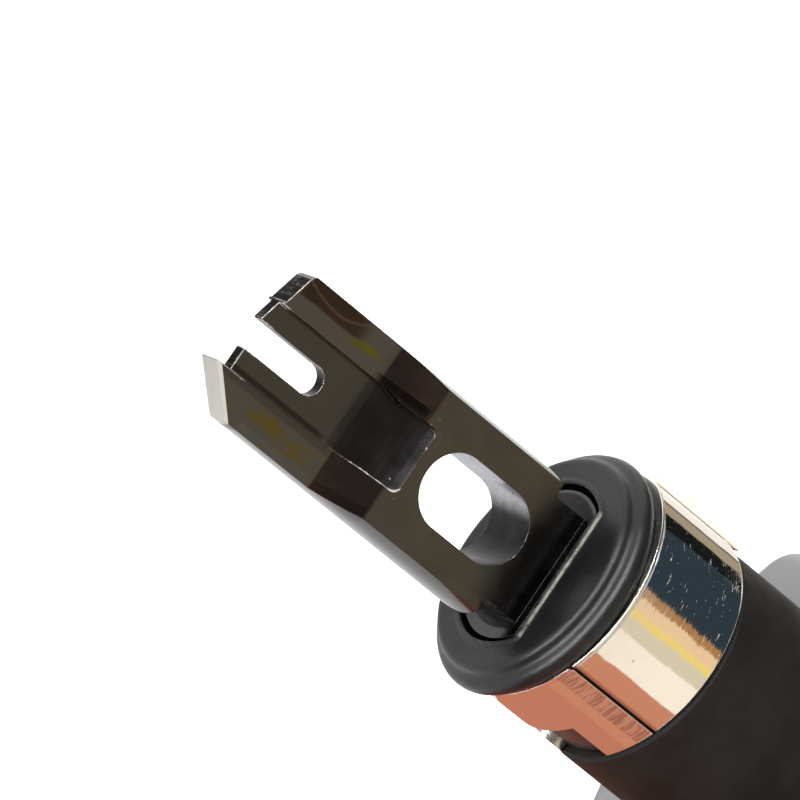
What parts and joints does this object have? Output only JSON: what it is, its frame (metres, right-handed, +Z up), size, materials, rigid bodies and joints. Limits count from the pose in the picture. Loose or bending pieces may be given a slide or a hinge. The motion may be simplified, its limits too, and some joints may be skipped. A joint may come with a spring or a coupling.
{
  "type": "punch down tool",
  "caption": "Hand-held impact punch down tool: slotted and cutting terminal blade in a twist-ring nose, sprung plunger, impact hammer and force dial in a gripped handle.",
  "frame": {"origin": "half way along the overall length from the rear face of the dial to the cutting edge, on the centre plane of the width, on the surface the tool rests on", "axes": "+X along the tool towards the blade tip, +Z up out of the blade's flat face, +Y across the width"},
  "size_m": [0.16, 0.0264, 0.0284],
  "materials": {
    "black_oxide_steel": "oiled black oxide",
    "nose_black": "satin moulded",
    "chrome_ring": "bright nickel plate",
    "dark_sleeve": "blackened steel",
    "bright_steel": "turned",
    "spring_steel": "drawn wire",
    "hard_steel": "hardened, oiled",
    "brass_nut": "turned",
    "neck_black": "fine matt",
    "dial_black": "fine matt",
    "handle_grey": "fine texture",
    "grip_rubber": "soft matt",
    "screw_black": "black zinc"
  },
  "bodies": {
    "handle": {"handle_left": "handle_grey", "handle_right": "handle_grey", "grip_left": "grip_rubber", "grip_right": "grip_rubber", "case_screws": "screw_black", "guide_tube": "bright_steel", "guide_washer": "hard_steel", "tube_snap_ring": "hard_steel", "cam_rail": "hard_steel", "rear_bushing": "nose_black", "detent_ball": "bright_steel", "detent_spring": "spring_steel", "return_spring": "spring_steel", "main_spring": "spring_steel"},
    "plunger": {"nose_collar": "nose_black", "lock_sleeve": "dark_sleeve", "stop_pin": "bright_steel", "blade_chuck": "bright_steel", "blade_leaf_spring": "spring_steel", "neck_barrel": "neck_black", "anvil_stem": "hard_steel", "stem_circlip": "hard_steel"},
    "ring": {"lock_ring": "chrome_ring"},
    "blade": {"blade": "black_oxide_steel"},
    "hammer": {"hammer": "hard_steel"},
    "trip": {"trip_plate": "hard_steel"},
    "dial": {"force_dial": "dial_black", "adjuster_screw": "bright_steel", "dial_screw": "bright_steel", "thrust_washer": "bright_steel"},
    "seat": {"spring_seat": "brass_nut"}
  },
  "joints": [
    {"name": "plunger_travel", "type": "slide", "parent": "handle", "child": "plunger", "axis": [-1, 0, 0], "range_m": [0, 0.0105], "stiffness_N_per_m": 900, "springref_m": -0.004, "deforming": ["return_spring"]},
    {"name": "ring_turn", "type": "hinge", "parent": "plunger", "child": "ring", "pos_m": [0.04895, 0, 0.0142], "axis": [1, 0, 0], "range_deg": [-25, 0]},
    {"name": "blade_pull", "type": "slide", "parent": "plunger", "child": "blade", "axis": [1, 0, 0], "range_m": [0, 0.018]},
    {"name": "hammer_travel", "type": "slide", "parent": "handle", "child": "hammer", "axis": [-1, 0, 0], "range_m": [0, 0.0105], "deforming": ["main_spring"]},
    {"name": "trip_shift", "type": "slide", "parent": "hammer", "child": "trip", "axis": [0, 1, 0], "range_m": [0, 0.0011]},
    {"name": "dial_turn", "type": "hinge", "parent": "handle", "child": "dial", "pos_m": [-0.07605, 0, 0.0142], "axis": [1, 0, 0], "range_deg": [0, 270]},
    {"name": "seat_travel", "type": "slide", "parent": "handle", "child": "seat", "axis": [1, 0, 0], "range_m": [0, 0.003]}
  ],
  "couplings": [
    {"joint": "hammer_travel", "follows": "plunger_travel", "ratio": 1},
    {"joint": "trip_shift", "follows": "plunger_travel", "ratio": 0.1047},
    {"joint": "dial_turn", "follows": "seat_travel", "rad_per_m": 1570.8}
  ]
}
